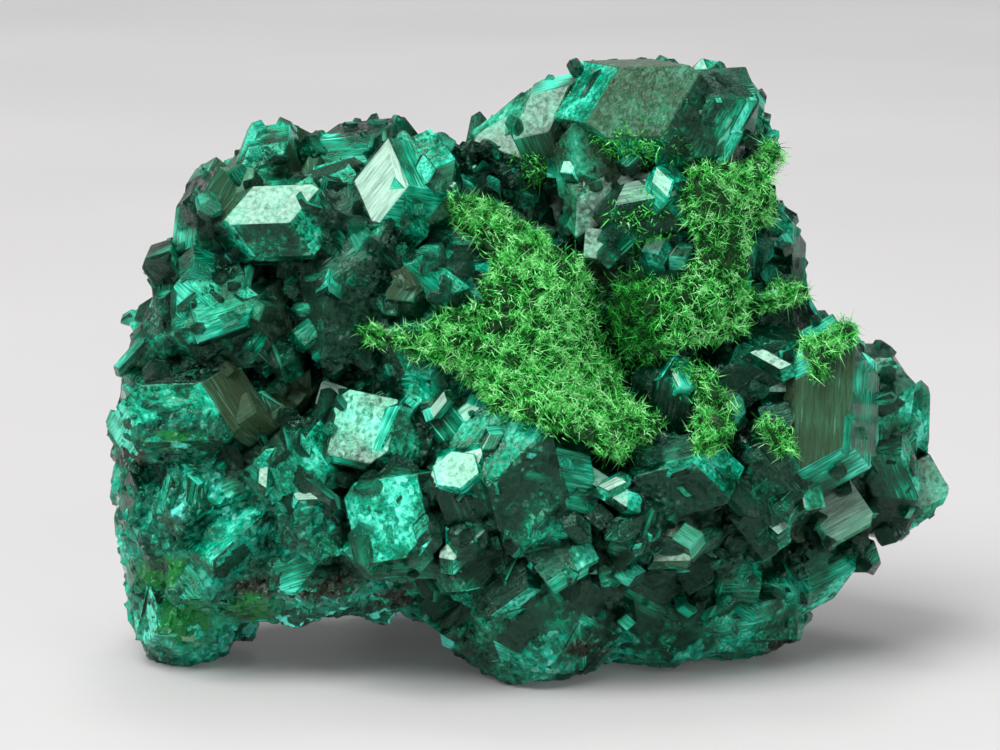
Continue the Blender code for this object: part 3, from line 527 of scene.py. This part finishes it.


# tone at a listed place is partly the face's own colour and partly painted light and shade, set for how lit
# each face shows
faceNotes = [  # right, up, reach in mm, tone from dark to bright, share of grey dust
    (11.5, 58.7, 5.5, 0.3, 0.75), (0.4, 56.2, 4.8, 0.7, 0.4), (30, 28.2, 4.5, 0.3, 1.0),
    (-28, 26.2, 2.2, 0.4, 1.0), (-22.7, 29, 1.5, 0.4, 0.8), (-24.9, 26.6, 1.5, 0.3, 0.5),
    (-29.3, 49.2, 3, 0.5, 0.8), (-22, 52, 2, 0.6, 0.8), (-24.8, 47.9, 2.6, 0.7, 0.3),
    (-9.2, 48.7, 2.2, 0.5, 0.6), (-11.5, 40.2, 1.4, 0.6, 0.8), (15, 14, 2.2, 0.6, 1.0),
    (31.5, 17, 3, 0.7, 0.7), (25.5, 15, 1.2, 0.7, 0.9), (-30, 36.5, 4.6, 0.85, 0.0), (-13, 16, 5, 0.9, 0.0),
    (-16.7, 25.5, 4, 0.98, 0.0), (3.5, 12, 4, 0.6, 0.0), (29, 10.2, 4.5, 0.9, 0.0),
    (-8.8, 40.6, 2, 0.95, 0.0), (3.7, 47.4, 3.6, 0.75, 0.3), (7.5, 52, 2.6, 0.75, 0.3),
    (-23, 36.4, 3, 0.25, 0.3), (-15.5, 36.5, 4, 0.15, 0.0), (0.4, 19.4, 4, 0.12, 0.0),
    (1.4, 24.6, 3.4, 0.3, 0.0), (15.6, 19.2, 4, 0.12, 0.0), (23.8, 17.6, 3.6, 0.3, 0.0),
    (24.8, 42, 3, 0.35, 0.0), (21.2, 33, 3, 0.4, 0.0), (24.8, 35, 3, 0.1, 0.0), (24.6, 22, 3, 0.1, 0.0),
    (-29.4, 32, 3, 0.15, 0.0), (33, 8.6, 3.6, 0.85, 0.0), (22.5, 6.6, 4, 0.6, 0.0),
    (12.5, 5.8, 4, 0.5, 0.0), (4, 5.6, 3.6, 0.6, 0.0), (-28.9, 29.4, 1.4, 0.4, 0.9),
    (8.3, 50.7, 2.2, 0.7, 0.5), (4.1, 50.9, 2.2, 0.6, 0.5), (2.8, 47.4, 3.4, 0.7, 0.55),
    (7.7, 44, 2.2, 0.6, 0.55), (17.2, 55.4, 2, 0.2, 0.1), (40, 19.8, 3, 0.7, 0.2), (19.4, 55, 4, 0.28, 0.1),
    (-34.8, 26.8, 4, 0.6, 0.0),
]
palePlaces = [  # right, up, reach, turn and tilt of the faces, share of painted highlight
    (-0.4, 55.4, 3, (-20, 40), 0.5), (1.3, 56.5, 2, (-22, 26), 0.4), (-14, 50, 3.4, shine, 0.75),
    (-6.9, 21.4, 3, shine, 0.8), (-6.2, 14.2, 2.6, shine, 0.75), (-25.2, 47.9, 3, (-8, 48), 0.7),
    (-25.2, 31.2, 2, shine, 0.6), (15, 30, 2.4, shine, 0.7), (13.4, 43.2, 2, shine, 0.7),
    (17.4, 59.4, 3, shine, 0.7), (-16.8, 25.8, 4, (-14, 26), 0.38), (24.6, 44.6, 3, (4, 62), 0.4),
    (-22, 52, 2.4, (-8, 26), 0.5), (31.6, 17, 3.4, (2, 16), 0.4), (35.8, 30.4, 2.6, (8, 22), 0.5),
    (27, 30.6, 2.4, (-10, 18), 0.5), (8.4, 19.6, 2.4, shine, 0.7), (14.6, 14, 2.6, (-8, 26), 0.4),
    (3.6, 47.4, 2.6, (-16, 22), 0.35), (7.2, 49.8, 2.2, (-6, 32), 0.4), (7.6, 43.8, 2.4, (-4, 30), 0.35),
    (11.2, 49.4, 2.2, (-10, 36), 0.45), (3.8, 54.2, 2, (-16, 22), 0.35), (39.2, 20, 2.8, (10, 14), 0.35),
    (6.8, 46.8, 2, (4, 4), 0.3),
]
calmPlaces = [(-14, 50, 3.4), (-6.6, 21, 3), (-6.2, 14, 2.6), (15, 30.3, 2), (14, 49.5, 1.6),
              (13.4, 43.2, 1.8), (21.8, 24.6, 2.4), (-24.8, 31, 2)]


def within(x, h, place):
    right, up, reach = place
    return math.hypot(x - right, h - up) < reach


def looksTo(normal, way, reach):
    return normal.angle(facing(*way)) < reach


def makeCluster(form):
    cluster = copyOf("dioptase_cluster", "dioptaseCluster")
    inEditMode(cluster, lambda: bpy.ops.mesh.dissolve_limited(angle_limit=form["flatWithin"]))
    mesh = cluster.data
    for corner in mesh.vertices:
        corner.co.z = max(corner.co.z, form["foot"])  # the massive stone is what stands on the shelf
    mapFacets(mesh, form["toneSeed"])
    weighHollows(mesh, form)
    for name in ("calm", "dust", "plate", "pale"):
        mesh.attributes.new(name, "FLOAT", "FACE")
    tones = mesh.attributes["facet"].data
    calm, dust, plate, pale = [mesh.attributes[name].data for name in ("calm", "dust", "plate", "pale")]
    for number, face in enumerate(mesh.polygons):
        x, h = onElevation(face.center)
        if face.normal.dot(toFront) > 0.2:
            # listed places set the face's tone: partly painted light and shade
            for *place, tone, share in faceNotes:
                if within(x, h, place):
                    tones[number].value = tone * 0.85 + 0.13 * tones[number].value  # and a little of its own
                    dust[number].value = share
        placed = any(within(x, h, place) for place in calmPlaces)
        calm[number].value = float(placed and looksTo(face.normal, shine, form["shineWithin"]))
        # faces near a listed place that look its way take pale colour: a painted highlight
        pale[number].value = max([0.0] + [share for *place, way, share in palePlaces if within(x, h, place)
                                          and looksTo(face.normal, way, form["paleWithin"])])
        plain = calm[number].value == 0 and pale[number].value == 0 and dust[number].value < 0.25
        bare = massive(face.center, face.normal)
        plate[number].value = float(plain and face.area > form["plateArea"]) * (1 - bare)
    return cluster


def bevelCluster(cluster, form):
    modified(cluster, "BEVEL", width=form["edge"], segments=1, limit_method="ANGLE",
             angle_limit=bevelAngle, use_clamp_overlap=False)


smallForm = {"kinds": [(1, 1.2), (1, 1.7), (1.3, 1.0), (0.75, 2.2), (1.4, 1.6)],  # width and length
             "capPole": math.radians(51), "flat": 0.85, "edge": 0.03, "toneSeed": 40,  # flat, edge: in widths
             "clear": 1.5 * mm, "lowest": 2 * mm, "lies": False, "rise": (0.0, 0.0)}
sproutForm = {**smallForm, "seed": 11, "width": 2.7 * mm, "apart": 2.3 * mm, "perArea": 0.5e6, "lean": 0.8,
              "sizes": (0.55, 1.35), "where": "hollow", "share": (0.12, 0.5)}
sugarForm = {**smallForm, "seed": 31, "width": 1.3 * mm, "apart": 1.0 * mm, "perArea": 1.5e6, "lean": 1.0,
             "sizes": (0.5, 1.3), "where": "hollow", "share": (0.35, 0.8)}
stepForm = {**smallForm, "seed": 51, "width": 2.6 * mm, "apart": 2.2 * mm, "perArea": 0.5e6, "lean": 0.06,
            "sizes": (0.35, 1.3), "where": "plate", "share": (0.3, 0.9),
            "rise": (0.05 * mm, 0.3 * mm), "lies": True}


def widest(mesh, slopes):
    # the normal of the largest face whose normal rises by a share between the two
    fit = [face for face in mesh.polygons if slopes[0] < face.normal.z < slopes[1]]
    return max(fit, key=lambda face: face.area).normal.copy()


def crystalKind(number, across, length, form, capped=True):
    # a six-sided prism, with three slanted faces at each end unless it is flat-ended, its long axis upright
    bpy.ops.mesh.primitive_cylinder_add(vertices=6, radius=across / 2, depth=length * 2)
    kind = bpy.context.object
    kind.name = f"kind{number}"
    corner = kind.data.vertices[0].co
    start = math.atan2(corner.y, corner.x)
    for end in (1, -1) if capped else ():
        for third in range(3):
            turn = start + third * math.radians(120) + (math.radians(60) if end < 0 else 0)
            pole = Vector((math.sin(form["capPole"]) * math.cos(turn),
                           math.sin(form["capPole"]) * math.sin(turn), end * math.cos(form["capPole"])))
            inEditMode(kind, lambda: bpy.ops.mesh.bisect(
                plane_co=(0, 0, end * length / 2), plane_no=pole, use_fill=True, clear_outer=True))
    inEditMode(kind, lambda: bpy.ops.transform.resize(value=(1, form["flat"], 1 if capped else 0.5)))
    mapFacets(kind.data, form["toneSeed"] + number, mm / form["width"])
    modified(kind, "BEVEL", width=form["edge"], segments=1, limit_method="ANGLE", angle_limit=bevelAngle)
    if form["lies"]:
        # its long axis along X and its widest side up, level with the ground
        side = widest(kind.data, (-0.1, 0.1))
        axis = Vector((0, 0, 1))
        kind.data.transform(Matrix((axis, side.cross(axis), side)).to_4x4())
        top = max(corner.co.z for corner in kind.data.vertices)
        kind.data.transform(Matrix.Translation((0, 0, -top)))
    return kind


def crystalTree(shelf, form):
    tree, bench, ground = newTree("smallCrystals")
    kinds = bench.add("GeometryNodeCollectionInfo", {}, {
        "Collection": shelf, "Separate Children": True, "Reset Children": True})
    mats = bench.together(bench.add("GeometryNodeObjectInfo", {}, {"Object": node}, "Geometry")
                          for name, node in frame["nodes"].items() if "fornacite" in name)
    where = bench.named(form["where"])
    spots = bench.add("GeometryNodeDistributePointsOnFaces", {"distribute_method": "POISSON"}, {
        "Mesh": ground, "Distance Min": form["apart"], "Density Max": form["perArea"],
        "Density Factor": where.above(*form["share"]), "Seed": form["seed"]}, "Points")
    normal = spots.beside("Normal")
    # none close to the mats, near the shelf or on faces with painted highlight
    near = bench.add("GeometryNodeProximity", {"target_element": "FACES"}, {"Geometry": mats}, "Distance")
    height = bench.part(bench.add("GeometryNodeInputPosition", {}, {}), "Z")
    unfit = near.under(form["clear"]) + height.under(form["lowest"]) + bench.named("pale")
    kept = bench.add("GeometryNodeDeleteGeometry", {"domain": "POINT"}, {
        "Geometry": spots, "Selection": unfit.over(0.1)})
    kept = bench.raised(kept, normal, bench.chance(form["seed"] + 4, *form["rise"]))
    way = bench.strayed(normal, form["lean"], form["seed"] + 1)
    turn = bench.add("FunctionNodeAlignRotationToVector", {"axis": "Z"}, {"Vector": way})
    if form["lies"]:
        turn = bench.add("FunctionNodeAlignRotationToVector", {"axis": "X", "pivot_axis": "Z"}, {
            "Rotation": turn, "Vector": bench.named("run", "FLOAT_VECTOR")})
    low, high = form["sizes"]
    size = (bench.chance(form["seed"] + 2) ** 1.6 * (high - low) + low) * form["width"]
    planted = bench.add("GeometryNodeInstanceOnPoints", {}, {
        "Points": kept, "Instance": kinds, "Pick Instance": True, "Rotation": turn, "Scale": size})
    planted = bench.marked(planted, "each", bench.chance(form["seed"] + 3))
    whole = bench.add("GeometryNodeRealizeInstances", {}, {"Geometry": planted})
    bench.add("NodeGroupOutput", {}, {"Geometry": whole})
    return tree


def makeSmallCrystals(cluster, name, form):
    crystals = cluster.copy()
    crystals.data = cluster.data.copy()
    crystals.name = name
    bpy.context.scene.collection.objects.link(crystals)
    shelf = bpy.data.collections.new("crystalKinds")
    bpy.context.scene.collection.children.link(shelf)
    for number, (across, length) in enumerate(form["kinds"]):
        kind = crystalKind(number, across, length, form)
        for home in kind.users_collection:
            home.objects.unlink(kind)
        shelf.objects.link(kind)
    modified(crystals, "NODES", node_group=crystalTree(shelf, form))
    for kind in list(shelf.objects):
        bpy.data.objects.remove(kind)
    bpy.data.collections.remove(shelf)
    return crystals


placedForm = {**smallForm, "toneSeed": 100, "shineWithin": math.radians(12),
              "slopes": {"side": (-0.1, 0.1), "cap": (0.4, 0.9), "end": (0.99, 1.01)}}
placedCrystals = [  # right, up, width, height in mm, face that shows, its turn and tilt, lean, share of dust
    (-6.8, 21, 4.9, 2.2, "end", shine, 20, 0), (4.6, 51, 2, 1.4, "cap", (-14, 34), 40, 0),
    (13.6, 49.6, 2.2, 4.6, "side", shine, -10, 0), (13.3, 42.9, 2.8, 5, "cap", shine, 30, 0),
    (15.6, 42.8, 1.4, 3, "side", (6, 16), -38, 0.5), (24.6, 31.8, 1.1, 5, "side", shine, 62, 0),
    (21.8, 24.6, 1.1, 4.4, "side", shine, 22, 0), (20.6, 27.4, 1.4, 4, "side", (-18, 10), 14, 0.4),
    (28, 18.4, 2, 3, "side", (-12, 26), 74, 0.5), (25.4, 15, 2.2, 1.6, "cap", shine, 0, 0),
    (-5.8, 26.8, 1.6, 4.2, "side", (-8, 28), -50, 0.3), (-27.2, 41.4, 1.8, 3.4, "side", (-8, 16), 24, 0.8),
    (-16.4, 44.4, 1.4, 3.2, "side", (-16, 14), -24, 0.5), (-11.6, 40.6, 2, 2.4, "side", (0, 20), -30, 0.9),
    (-28, 26.2, 3.6, 3.6, "side", (-8, 8), 2, 1.0), (-24.6, 26.6, 2.4, 2.2, "side", (-2, 6), 4, 0.6),
    (-22.6, 29, 2.2, 2.6, "side", (4, 12), -4, 0.8), (-25.9, 20.4, 0.9, 3.4, "side", shine, 4, 0),
    (-21.8, 18.2, 0.9, 3.2, "side", shine, 96, 0), (-25, 31.4, 2.2, 3.8, "side", shine, -36, 0),
    (-5.2, 51, 1.2, 1.8, "side", shine, 10, 0), (-7.2, 49.4, 1, 1.4, "cap", shine, 20, 0),
    (-14, 8.6, 1.1, 1.2, "cap", shine, 0, 0), (-21.2, 12.2, 0.9, 1.1, "cap", shine, 15, 0),
    (5.4, 12.6, 3.6, 1.9, "side", (-8, 22), 86, 0.2), (16.4, 14, 3, 3, "cap", (-6, 20), 12, 0.9),
    (-3.6, 43.6, 1.4, 2.4, "side", (-10, 18), -40, 0.3), (-8.6, 27.6, 1, 3.4, "side", (-8, 24), -36, 0.2),
    (-3.4, 24, 1.1, 3, "side", (4, 22), -28, 0.2), (-6.4, 14.2, 1.5, 4, "side", shine, 40, 0),
    (15.4, 30, 1.6, 2.6, "side", shine, -28, 0), (8.8, 19.6, 1.1, 3.4, "side", shine, -58, 0),
]


def placeCrystals(rows, form, ground):
    # each stands in the stone where its place on the elevation meets it, with one face turned to the front
    tree = treeOf(ground)
    up = Vector((0, 0, 1))
    made = []
    for number, (right, above, width, height, face, way, lean, dust) in enumerate(rows):
        spot = toRight * (right * mm) + toTop * (above * mm - view["toe"]) + view["shift"]
        found = tree.ray_cast(eyePoint, (spot - eyePoint).normalized())[0]
        if found is None:
            continue
        across, length = {"side": (width / 0.5, height + 0.6 * width), "cap": (width * 1.15, width * 1.5),
                          "end": (width, height)}[face]
        crystal = crystalKind(number, 1, length / across, {**form, "width": across * mm}, face != "end")
        # turned so that the face that shows looks its way, and the crystal leans about it
        looks = facing(*way)
        own = widest(crystal.data, form["slopes"][face])
        rise = (up - looks * looks.z).normalized()
        here = Matrix((looks.cross(rise), looks, rise)).transposed()
        tall = Vector((0, 1, 0)) if face == "end" else (up - own * own.z).normalized()
        there = Matrix((own.cross(tall), own, tall)).transposed()
        turned = Matrix.Rotation(math.radians(lean), 3, looks) @ here @ there.transposed()
        reach = max(corner.co.dot(own) for corner in crystal.data.vertices)
        proud = (0.25 + 0.16 * height) * mm
        crystal.data.transform(Matrix.Scale(across * mm, 4))
        crystal.data.transform(turned.to_4x4())
        crystal.data.transform(Matrix.Translation(found + looks * (proud - reach * across * mm)))
        # faces that mirror the key light are calm and take pale colour, a painted highlight; the rest take
        # the listed dust
        for name, share, other in (("calm", 1.0, 0.0), ("pale", 0.6, 0.0), ("dust", 0.0, dust)):
            even = crystal.data.attributes.new(name, "FLOAT", "FACE")
            for side in crystal.data.polygons:
                shines = looksTo(side.normal, shine, form["shineWithin"])
                even.data[side.index].value = share if shines else other
        made.append(crystal)
    onlySelect(made[0])
    for crystal in made:
        crystal.select_set(True)
    bpy.ops.object.join()
    made[0].name = "litCrystals"
    return made[0]


needleForm = {"perArea": 70e6, "length": 0.7 * mm, "width": 0.05 * mm, "sizes": (0.5, 1.25), "threads": 1.8,
              "upright": 0.15, "rise": 0.95 * mm, "patches": 520, "gaps": (0.4, 0.56), "onlyOn": None,
              "under": 0.9 * mm, "voxel": 0.5 * mm, "lumps": 1.0 * mm, "lumpScale": 650,
              "shaded": [(10.6, 35.4, 4.4, 6.6), (12, 33, 3, 3)]}


def needleTree(form, seed):
    tree, bench, ground = newTree("needles")
    density = bench.noise(bench.add("GeometryNodeInputPosition", {}, {}), form["patches"], 3, 0.65)
    density = density.above(*form["gaps"]) * form["perArea"]
    if form["onlyOn"]:
        density = density * bench.named(form["onlyOn"])
    spots = bench.add("GeometryNodeDistributePointsOnFaces", {}, {
        "Mesh": ground, "Density": density, "Seed": seed}, "Points")
    normal = spots.beside("Normal")
    cone = bench.add("GeometryNodeMeshCone", {"fill_type": "NGON"}, {
        "Vertices": 3, "Radius Top": 0.0, "Radius Bottom": form["width"], "Depth": form["length"]})
    way = bench.strayed(bench.scaled(normal, form["upright"]), 1.0, seed + 1)
    lift = bench.chance(seed + 4, 0.0, form["rise"])
    lifted = bench.raised(bench.marked(spots, "height", lift, "POINT"), normal, lift)
    turn = bench.add("FunctionNodeAlignRotationToVector", {"axis": "Z"}, {"Vector": way})
    size = bench.chance(seed + 2, *form["sizes"])
    long = size * (1 + bench.chance(seed + 5) ** 6 * form["threads"])
    stretch = bench.add("ShaderNodeCombineXYZ", {}, {"X": size, "Y": size, "Z": long})
    planted = bench.add("GeometryNodeInstanceOnPoints", {}, {
        "Points": lifted, "Instance": cone, "Rotation": turn, "Scale": stretch})
    planted = bench.marked(planted, "each", bench.chance(seed + 3))
    # height sets how bright a needle is: painted shade low in the mat
    planted = bench.marked(planted, "high", bench.named("height") / form["rise"] * 0.95 + 0.2)
    whole = bench.add("GeometryNodeRealizeInstances", {}, {"Geometry": planted})
    # a mat keeps its cushion under the needles, the moss has none; with no height the cushion takes the
    # darkest tone, a painted shade
    whole = bench.together([whole] if form["onlyOn"] else [whole, ground])
    bench.add("NodeGroupOutput", {}, {"Geometry": whole})
    return tree


mossForm = {**needleForm, "perArea": 30e6, "length": 0.55 * mm, "width": 0.075 * mm, "upright": 0.5,
            "rise": 0.35 * mm, "gaps": (0.4, 0.6), "onlyOn": "mossy", "cuts": 4, "shade": 0.5, "seed": 90,
            "spots": [(10, 34.7, 4.2, 7.4), (0.8, 50.8, 1.8, 3.4), (11.5, 53.6, 5.6, 2.2),
                      (11.6, 46, 3.4, 3.6), (16.5, 30.6, 2.2, 3), (-9, 33, 2.6, 1.6),
                      (25.8, 39.4, 2, 1.4), (24.6, 24.6, 2.4, 1.4)]}


def makeMoss(form):
    # loose fornacite on the crystals between and around the mats
    moss = copyOf("dioptase_cluster", "mossNeedles")
    inEditMode(moss, lambda: bpy.ops.mesh.subdivide(number_cuts=form["cuts"]))
    for name in ("mossy", "shade"):
        moss.data.attributes.new(name, "FLOAT", "POINT")
    mossy, shade = moss.data.attributes["mossy"], moss.data.attributes["shade"]
    for corner in moss.data.vertices:
        share = spotShare(*onElevation(corner.co), form["spots"]) * 1.5
        mossy.data[corner.index].value = min(max(share, 0), 1) * float(corner.normal.dot(toFront) > 0)
        shade.data[corner.index].value = form["shade"]
    return modified(moss, "NODES", node_group=needleTree(form, form["seed"]))


def makeMat(nodeName, name, form, seed):
    mat = copyOf(nodeName, name)
    modified(mat, "REMESH", mode="VOXEL", voxel_size=form["voxel"])
    moves = [(noise.fractal(corner.co * form["lumpScale"], 0.9, 2.1, 2) * form["lumps"] - form["under"])
             * corner.normal for corner in mat.data.vertices]
    shade = mat.data.attributes.new("shade", "FLOAT", "POINT")
    for corner, move in zip(mat.data.vertices, moves):
        share = spotShare(*onElevation(corner.co), form["shaded"]) * 2
        shade.data[corner.index].value = min(max(share, 0), 1)
        corner.co += move
    return modified(mat, "NODES", node_group=needleTree(form, seed))


stageForm = {
    "size": 6, "mottle": 6, "tones": [(0.3, (0.5, 0.49, 0.492)), (0.7, (0.54, 0.53, 0.532))],
    "rough": 0.6, "glow": 0.1, "sky": 0.1,
    # soft panels of the studio: axis, side, where each begins and is full, and how bright it is
    "panels": [("Z", 1, 0.84, 0.93, 1.3), ("X", -1, 0.75, 0.9, 0.7), ("Y", 1, 0.6, 0.9, 0.4)],
    # place in metres from the middle of the specimen, size and power
    "lights": {"keyLight": ((-0.6, -0.87, 1.53), 1.2, 41), "frontLight": ((1.2, -1.3, 0.5), 1.2, 9),
               "topLight": ((0.1, 0.9, 2.2), 0.6, 9), "leftLight": ((-1.9, -0.5, 1.0), 0.3, 5)},
    "aim": Vector((0, 0, 30 * mm)),
}


def makeStage(form):
    bpy.ops.mesh.primitive_plane_add(size=form["size"])
    floor = bpy.context.object
    floor.name = "floor"
    material, bench = newMaterial("paleFloor")
    place = bench.add("ShaderNodeTexCoord", {}, {}, "Object")
    colour = bench.ramp(bench.noise(place, form["mottle"], 2), form["tones"])
    body = bench.add("ShaderNodeBsdfPrincipled", {}, {
        "Base Color": colour, "Roughness": form["rough"], "Emission Color": colour,
        "Emission Strength": form["glow"]})
    bench.add("ShaderNodeOutputMaterial", {}, {"Surface": body})
    floor.data.materials.append(material)


def makeStudio(form):
    world = bpy.data.worlds.new("studio")
    bpy.context.scene.world = world
    world.use_nodes = True
    sky = Bench(world.node_tree)
    way = sky.add("ShaderNodeTexCoord", {}, {}, "Generated")
    light = form["sky"]
    for axis, side, begins, full, power in form["panels"]:
        light = light + (sky.part(way, axis) * side).above(begins, full) * power
    join(sky.add("ShaderNodeCombineXYZ", {}, {"X": light, "Y": light, "Z": light}),
         world.node_tree.nodes["Background"].inputs["Color"])
    for name, (place, size, power) in form["lights"].items():
        lamp = bpy.data.lights.new(name, "AREA")
        lamp.size = size
        lamp.energy = power
        holder = bpy.data.objects.new(name, lamp)
        bpy.context.scene.collection.objects.link(holder)
        holder.location = form["aim"] + Vector(place)
        holder.rotation_euler = (-Vector(place)).to_track_quat("-Z", "Y").to_euler()


def makeCamera():
    lens = bpy.data.cameras.new("camera")
    lens.lens = view["lens"]
    lens.clip_start = 0.01
    holder = bpy.data.objects.new("camera", lens)
    bpy.context.scene.collection.objects.link(holder)
    holder.location = eyePoint
    holder.rotation_euler = (-toFront).to_track_quat("-Z", "Y").to_euler()
    bpy.context.scene.camera = holder


print("stage and lights")
makeStage(stageForm)
makeStudio(stageForm)
makeCamera()

print("crystal cluster")
dioptase = dioptaseMaterial("dioptaseCrystal", dioptaseLook)
cluster = makeCluster(clusterForm)
dressed(makeRock(rockForm), rockMaterial("massiveStone", rockLook), "dioptase", "dioptase_cluster")

print("small crystals")
sprouts = makeSmallCrystals(cluster, "sproutCrystals", sproutForm)
sugar = makeSmallCrystals(cluster, "sugarCrystals", sugarForm)
steps = makeSmallCrystals(cluster, "stepCrystals", stepForm)
bevelCluster(cluster, clusterForm)
dressed(cluster, dioptase, "dioptase", "dioptase_cluster")
dressed(placeCrystals(placedCrystals, placedForm, cluster.data), dioptase, "dioptase")
for crystals in (sprouts, sugar, steps):
    dressed(crystals, dioptase, "dioptase")

print("fornacite mats")
fornacite = fornaciteMaterial("fornaciteNeedles", fornaciteLook)
mats = {"fornacite_main_mat": "mainMatNeedles", "fornacite_column_mat": "columnMatNeedles",
        "fornacite_strip": "stripNeedles", "fornacite_tuft": "tuftNeedles",
        "fornacite_sprig": "sprigNeedles", "fornacite_fringe": "fringeNeedles"}
for seed, (nodeName, name) in enumerate(mats.items()):
    dressed(makeMat(nodeName, name, needleForm, seed * 10), fornacite, "fornacite", nodeName)
dressed(makeMoss(mossForm), fornacite, "fornacite")

bpy.context.scene.view_settings.view_transform = "Standard"
for name, count in {"max": 6, "transmission": 5, "diffuse": 2, "glossy": 3}.items():
    setattr(bpy.context.scene.cycles, name + "_bounces", count)
